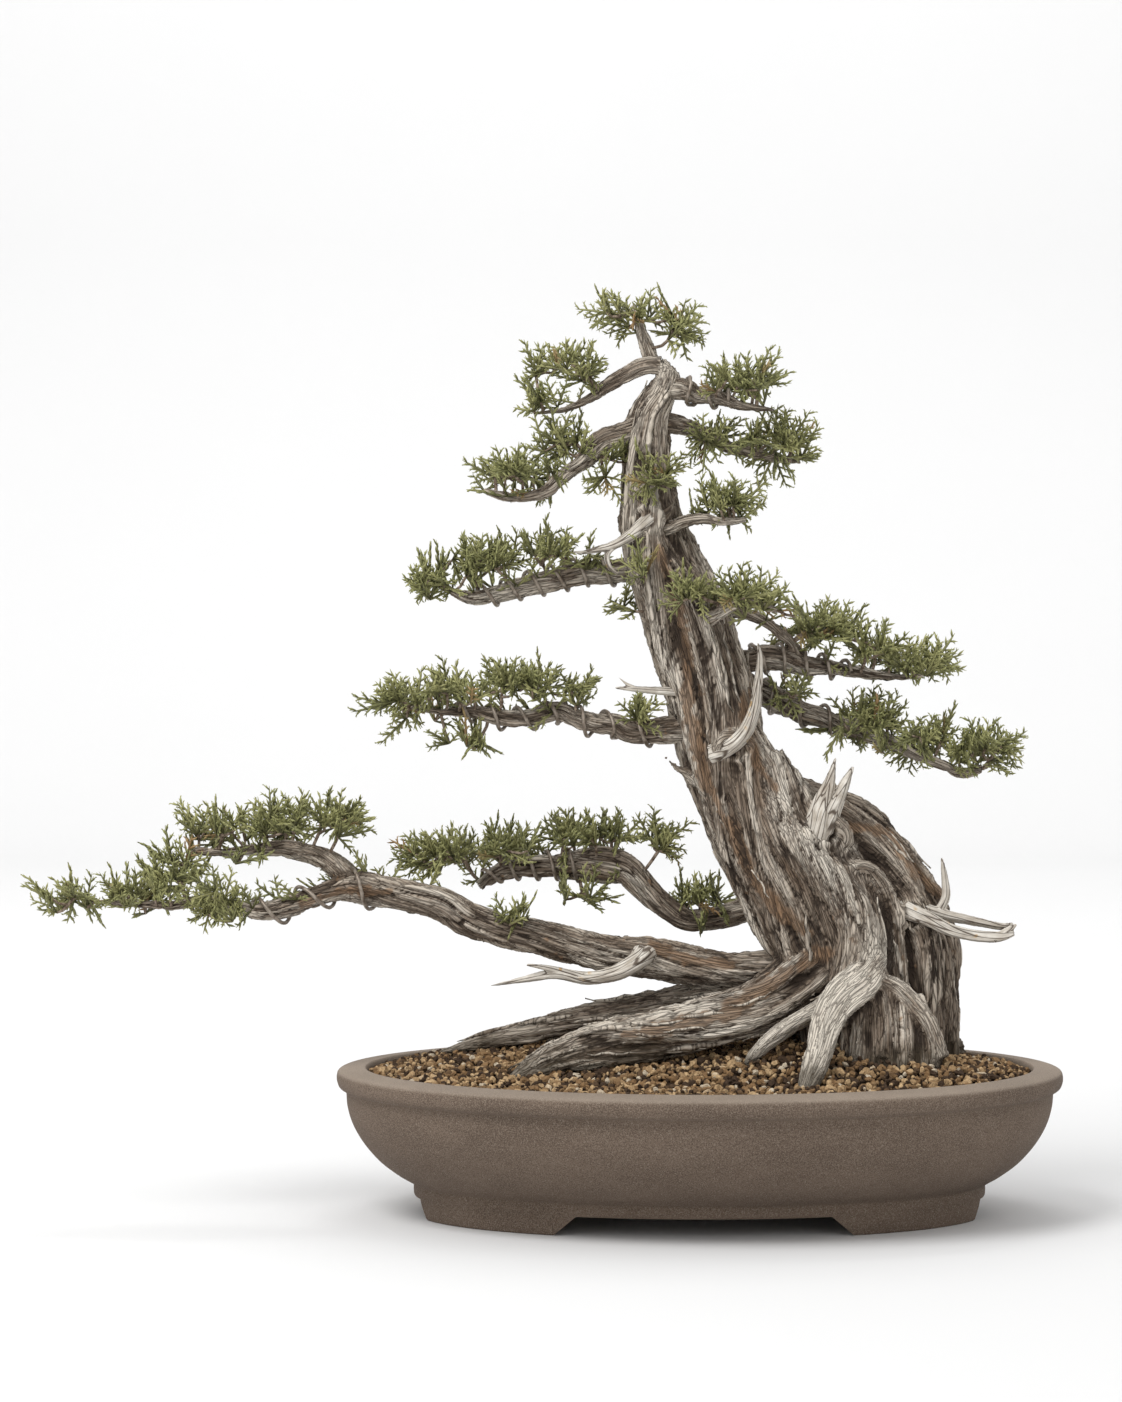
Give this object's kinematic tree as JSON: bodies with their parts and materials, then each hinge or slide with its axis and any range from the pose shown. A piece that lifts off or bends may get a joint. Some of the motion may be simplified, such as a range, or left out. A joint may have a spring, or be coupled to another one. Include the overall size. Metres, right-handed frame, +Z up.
{
  "type": "juniper bonsai in an oval pot",
  "caption": "Windswept juniper bonsai with a leaning, twisted trunk, bleached dead stubs and flat foliage pads, wired branches, planted in a low oval footed stoneware pot.",
  "frame": {"origin": "on the ground, under the middle of the whole object's bounding box; the middle of the pot is 0.101 m along +X from it", "axes": "+Z up; +X to the viewer's right, along the long side of the oval pot; +Y away from the viewer, from the pot's front to its back"},
  "size_m": [0.6816, 0.35, 0.61],
  "materials": {
    "stoneware": "matte",
    "soil": "matte",
    "granules": "matte",
    "bark": "matte",
    "deadwood": "matte",
    "foliage": "matte",
    "wire": "satin",
    "screen_plastic": "matte"
  },
  "bodies": {
    "root": {"branch_apex_left": "bark", "branch_apex_right": "bark", "branch_apex_top": "bark", "branch_back_left": "bark", "branch_crown_left": "bark", "branch_crown_right": "bark", "branch_front_right": "bark", "branch_low_left": "bark", "branch_lower_right": "bark", "branch_mid_left": "bark", "branch_right_mid": "bark", "branch_upper_left": "bark", "branch_upper_right": "bark", "deadwood_left_twig": "deadwood", "deadwood_low": "deadwood", "deadwood_middle": "deadwood", "deadwood_right": "deadwood", "deadwood_shoulder": "deadwood", "deadwood_upper": "deadwood", "drain_screen_left": "screen_plastic", "drain_screen_right": "screen_plastic", "foliage_apex": "foliage", "foliage_apex_left": "foliage", "foliage_apex_right": "foliage", "foliage_back_left": "foliage", "foliage_back_left_inner": "foliage", "foliage_back_left_top": "foliage", "foliage_back_left_under": "foliage", "foliage_crown_left": "foliage", "foliage_crown_left_inner": "foliage", "foliage_crown_right": "foliage", "foliage_front_right": "foliage", "foliage_left_tuft": "foliage", "foliage_low_left": "foliage", "foliage_low_left_front": "foliage", "foliage_low_left_tip": "foliage", "foliage_low_left_top": "foliage", "foliage_lower_right": "foliage", "foliage_lower_right_tuft": "foliage", "foliage_mid_left": "foliage", "foliage_mid_left_inner": "foliage", "foliage_mid_left_under": "foliage", "foliage_right_mid": "foliage", "foliage_trunk_front": "foliage", "foliage_upper_left": "foliage", "foliage_upper_left_inner": "foliage", "foliage_upper_right": "foliage", "gravel": "granules", "pot": "stoneware", "screen_clip_left": "wire", "screen_clip_right": "wire", "soil": "soil", "trunk": "bark", "wire_apex_right": "wire", "wire_back_left": "wire", "wire_low_left": "wire", "wire_lower_right": "wire", "wire_mid_left": "wire", "wire_upper_left": "wire", "wire_upper_right": "wire"}
  },
  "joints": []
}
